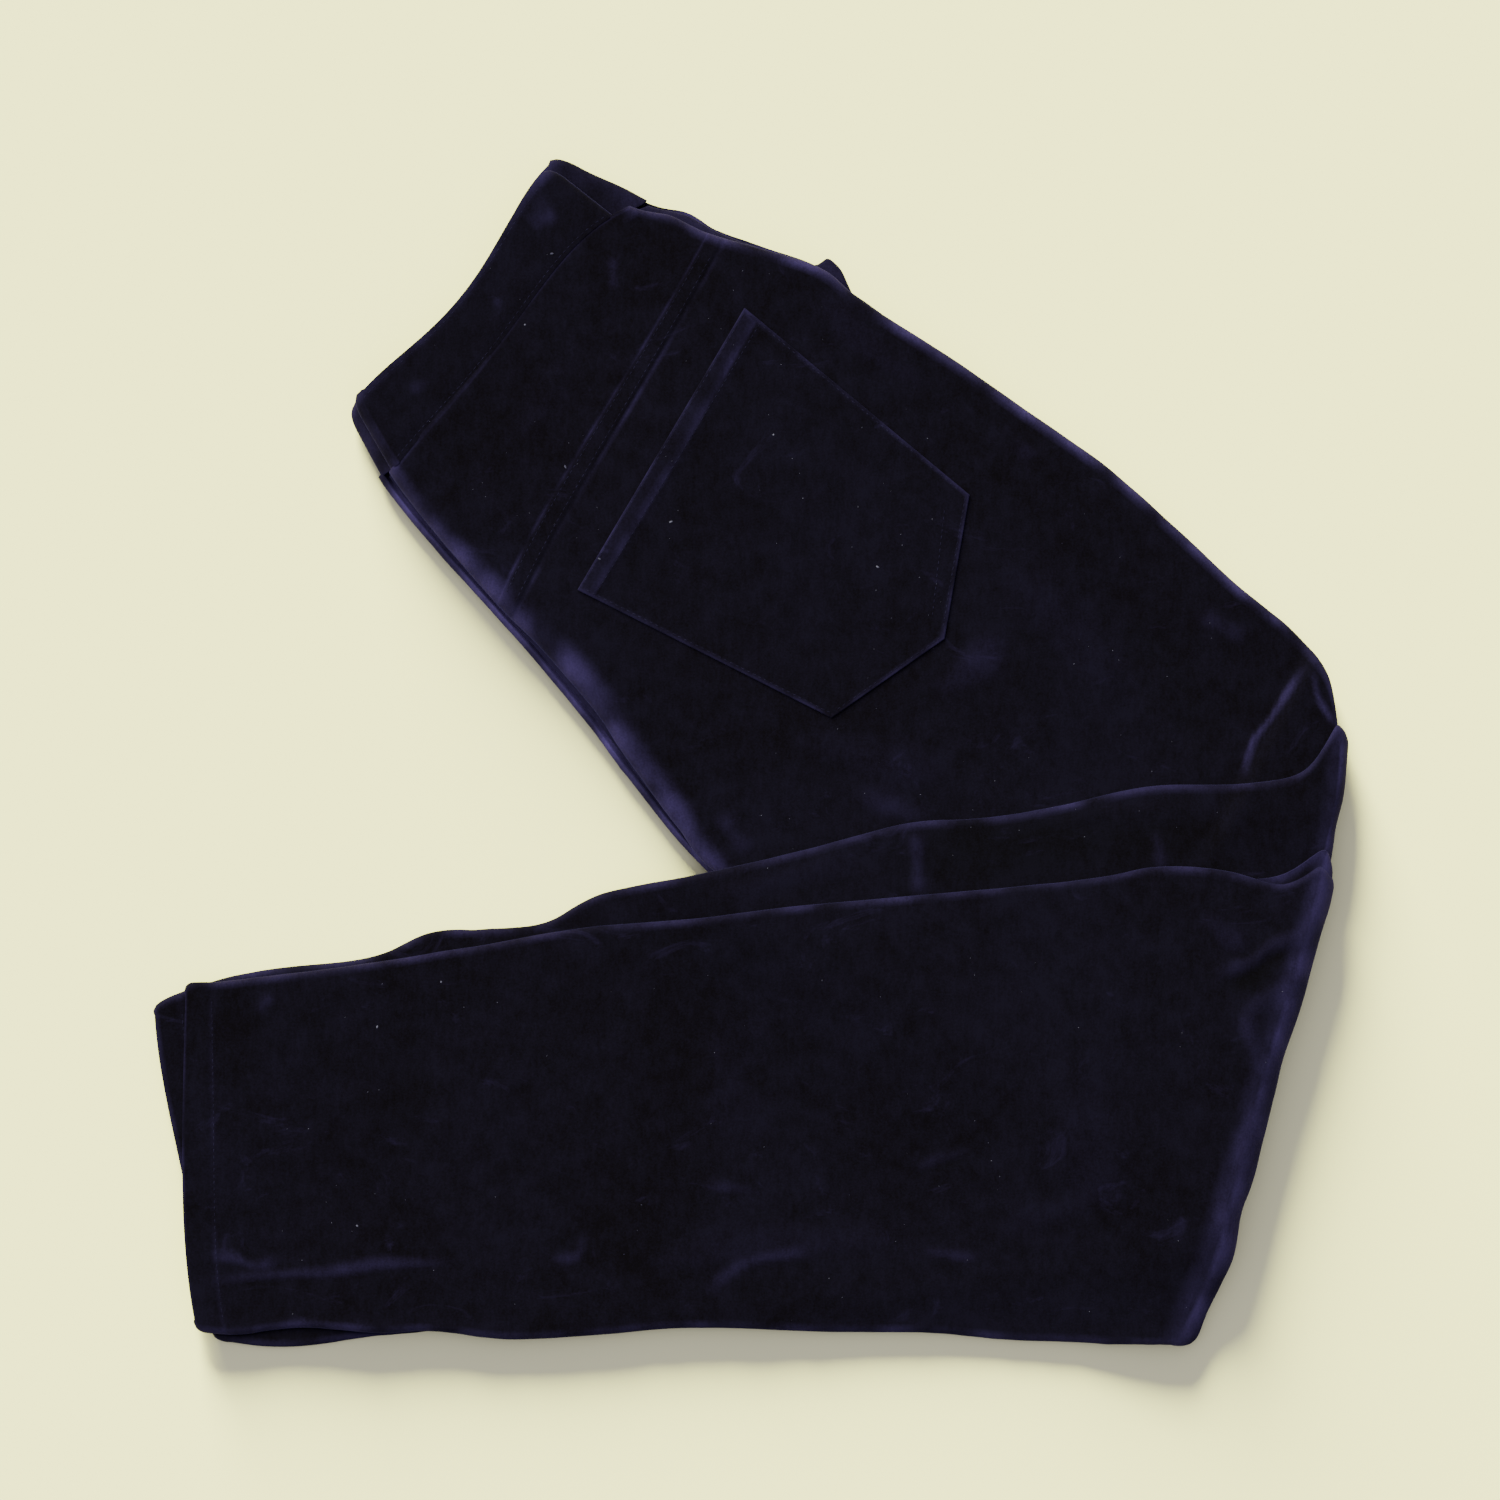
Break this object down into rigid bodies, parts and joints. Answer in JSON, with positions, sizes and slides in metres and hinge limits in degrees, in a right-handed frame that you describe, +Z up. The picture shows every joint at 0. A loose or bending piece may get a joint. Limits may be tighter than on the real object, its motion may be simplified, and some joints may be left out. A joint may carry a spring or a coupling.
{
  "type": "folded velvet trousers",
  "caption": "Velvet trousers with a jeans cut, folded in half at the seat and folded back at the knee, lying flat.",
  "frame": {"origin": "middle of the folded pile as seen from above, at the level of the surface that it lies on", "axes": "+Z up from the surface, +X towards the fold at the knee, +Y towards the side seam of the seat"},
  "size_m": [0.5968, 0.5973, 0.0209],
  "materials": {
    "velvet": "dark navy cotton velvet with a violet sheen",
    "velvet_inside": "dull inner side and hidden layers of the same cloth"
  },
  "bodies": {
    "root": {"waistband": "velvet", "yoke_left": "velvet", "yoke_right": "velvet", "back_left": "velvet", "pocket_left": "velvet", "front_left": "velvet", "front_right": "velvet", "back_right": "velvet", "inner_layers": "velvet_inside"}
  },
  "joints": []
}
